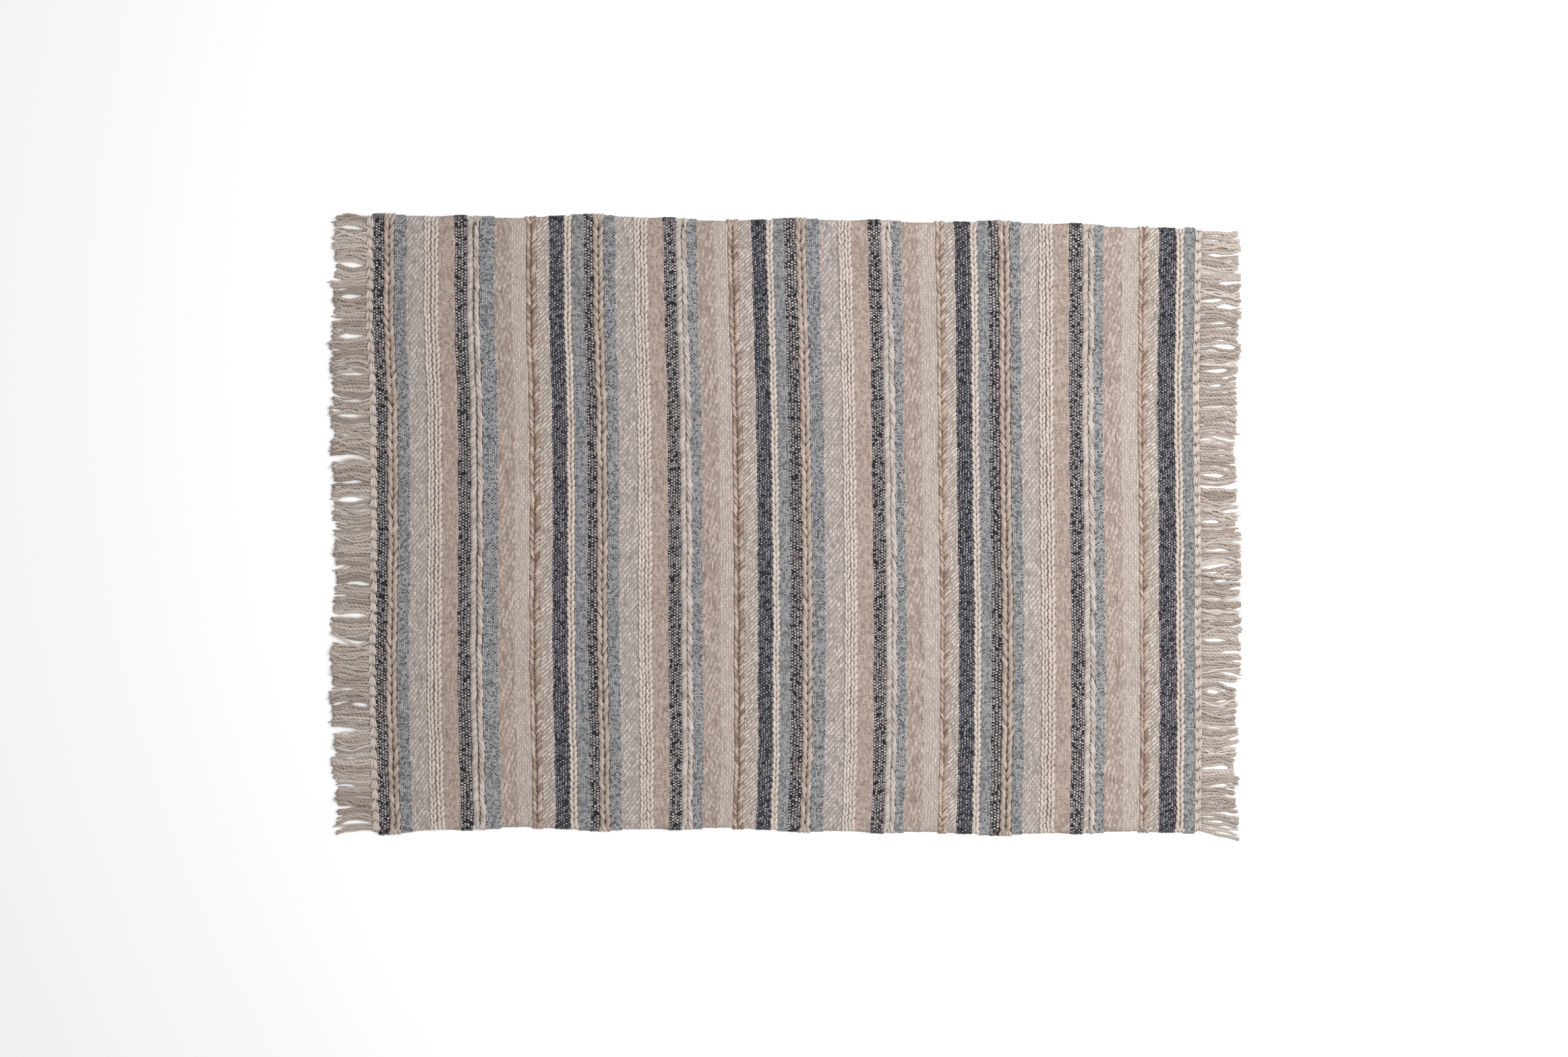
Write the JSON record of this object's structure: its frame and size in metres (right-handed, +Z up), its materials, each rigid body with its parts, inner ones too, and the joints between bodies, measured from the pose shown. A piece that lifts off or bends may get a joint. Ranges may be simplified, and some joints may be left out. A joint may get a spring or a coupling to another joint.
{
  "type": "flat-woven wool rug with fringe",
  "caption": "Flat-woven striped rug with raised braided and chained bands and a twisted yarn fringe at both short ends.",
  "frame": {"origin": "on the floor under the middle of the whole outline, fringe included", "axes": "+X along the rug's length, +Y across it, +Z up out of its face"},
  "size_m": [1.7967, 1.2303, 0.009],
  "materials": {
    "woven_wool": "matte woven wool in cream, tan, slate blue and charcoal bands",
    "fringe_yarn": "matte twisted undyed wool yarn"
  },
  "bodies": {
    "root": {"rug_cloth": "woven_wool", "fringe_left": "fringe_yarn", "fringe_right": "fringe_yarn"}
  },
  "joints": []
}
